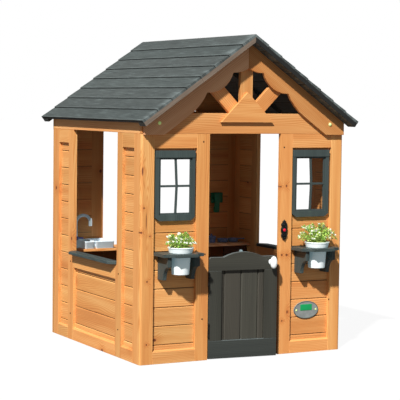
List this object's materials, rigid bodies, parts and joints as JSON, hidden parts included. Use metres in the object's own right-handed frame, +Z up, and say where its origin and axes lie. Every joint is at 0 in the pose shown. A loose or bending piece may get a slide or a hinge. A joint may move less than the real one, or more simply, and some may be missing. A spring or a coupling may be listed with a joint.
{
  "type": "playhouse",
  "caption": "Wooden garden playhouse with shiplap walls, a gabled board roof, a half door, planter shelves, open side windows and a play kitchen inside.",
  "frame": {"origin": "on the ground, under the middle of the overall box", "axes": "+Z up, the front wall with the door faces -Y, +X is to the right of someone facing the front"},
  "size_m": [1.0548, 1.151, 1.3844],
  "materials": {
    "cedar": "oiled, satin",
    "dark_stain": "stained, satin",
    "roof_stain": "stained, weathered",
    "door_stain": "stained, satin",
    "white_plastic": "smooth",
    "grey_plastic": "smooth",
    "blue_plastic": "smooth",
    "green_plastic": "smooth",
    "black_metal": "satin",
    "red_button": "smooth",
    "plate_plastic": "smooth",
    "hinge_steel": "satin",
    "foliage": "leafy"
  },
  "bodies": {
    "house": {"front_left_frame": "cedar", "front_left_siding": "cedar", "front_right_frame": "cedar", "front_right_siding": "cedar", "left_front_frame": "cedar", "left_front_siding": "cedar", "left_rear_frame": "cedar", "left_rear_siding": "cedar", "left_base_frame": "cedar", "left_base_siding": "cedar", "right_front_panel": "cedar", "right_rear_panel": "cedar", "right_base_panel": "cedar", "back_left_panel": "cedar", "back_right_panel": "cedar", "back_base_panel": "cedar", "front_header": "cedar", "left_header": "cedar", "right_header": "cedar", "front_barge_left": "cedar", "front_barge_right": "cedar", "front_king_post": "cedar", "front_strut_left": "cedar", "front_strut_right": "cedar", "gable_triangle": "cedar", "back_barge": "cedar", "back_truss": "cedar", "counter": "cedar", "left_sill": "dark_stain", "right_sill": "dark_stain", "window_left": "dark_stain", "window_right": "dark_stain", "planter_shelf_left": "dark_stain", "planter_shelf_right": "dark_stain", "planter_bracket_left_a": "dark_stain", "planter_bracket_left_b": "dark_stain", "planter_bracket_right_a": "dark_stain", "planter_bracket_right_b": "dark_stain", "roof_left_upper": "roof_stain", "roof_left_lower": "roof_stain", "roof_right_upper": "roof_stain", "roof_right_lower": "roof_stain", "sink": "grey_plastic", "name_plate": "plate_plastic", "phone_cradle": "green_plastic", "doorbell_plate": "black_metal", "door_hinge_upper": "hinge_steel", "door_hinge_lower": "hinge_steel"},
    "door": {"door_frame": "door_stain", "door_planks": "door_stain", "door_knob": "white_plastic"},
    "bell_button": {"doorbell_button": "red_button"},
    "spout": {"faucet": "grey_plastic"},
    "tap_lever": {"tap_handle": "blue_plastic"},
    "stove_dial": {"stove_knob": "white_plastic"},
    "handset": {"phone_handset": "green_plastic"},
    "left_planting": {"flower_pot_left": "white_plastic", "plant_left": "foliage"},
    "right_planting": {"flower_pot_right": "white_plastic", "plant_right": "foliage"}
  },
  "joints": [
    {"name": "door_swing", "type": "hinge", "parent": "house", "child": "door", "pos_m": [-0.173, -0.45395, 0.23], "axis": [0, 0, -1], "range_deg": [-6, 94]},
    {"name": "doorbell_press", "type": "slide", "parent": "house", "child": "bell_button", "axis": [0, 1, 0], "range_m": [0, 0.002], "stiffness_N_per_m": 300},
    {"name": "spout_swivel", "type": "hinge", "parent": "house", "child": "spout", "pos_m": [-0.42, 0.40105, 0.41], "axis": [0, 0, 1], "range_deg": [-90, 90]},
    {"name": "tap_turn", "type": "hinge", "parent": "house", "child": "tap_lever", "pos_m": [-0.42, 0.40105, 0.45], "axis": [0, 0, 1], "range_deg": [-60, 60]},
    {"name": "stove_knob_turn", "type": "hinge", "parent": "house", "child": "stove_dial", "pos_m": [0.438, 0.35105, 0.365], "axis": [0, 1, 0], "range_deg": [0, 270]},
    {"name": "handset_lift", "type": "slide", "parent": "house", "child": "handset", "axis": [0, 0, 1], "range_m": [0, 0.06]},
    {"name": "left_pot_lift", "type": "slide", "parent": "house", "child": "left_planting", "axis": [0, 0, 1], "range_m": [0, 0.092]},
    {"name": "right_pot_lift", "type": "slide", "parent": "house", "child": "right_planting", "axis": [0, 0, 1], "range_m": [0, 0.092]}
  ]
}
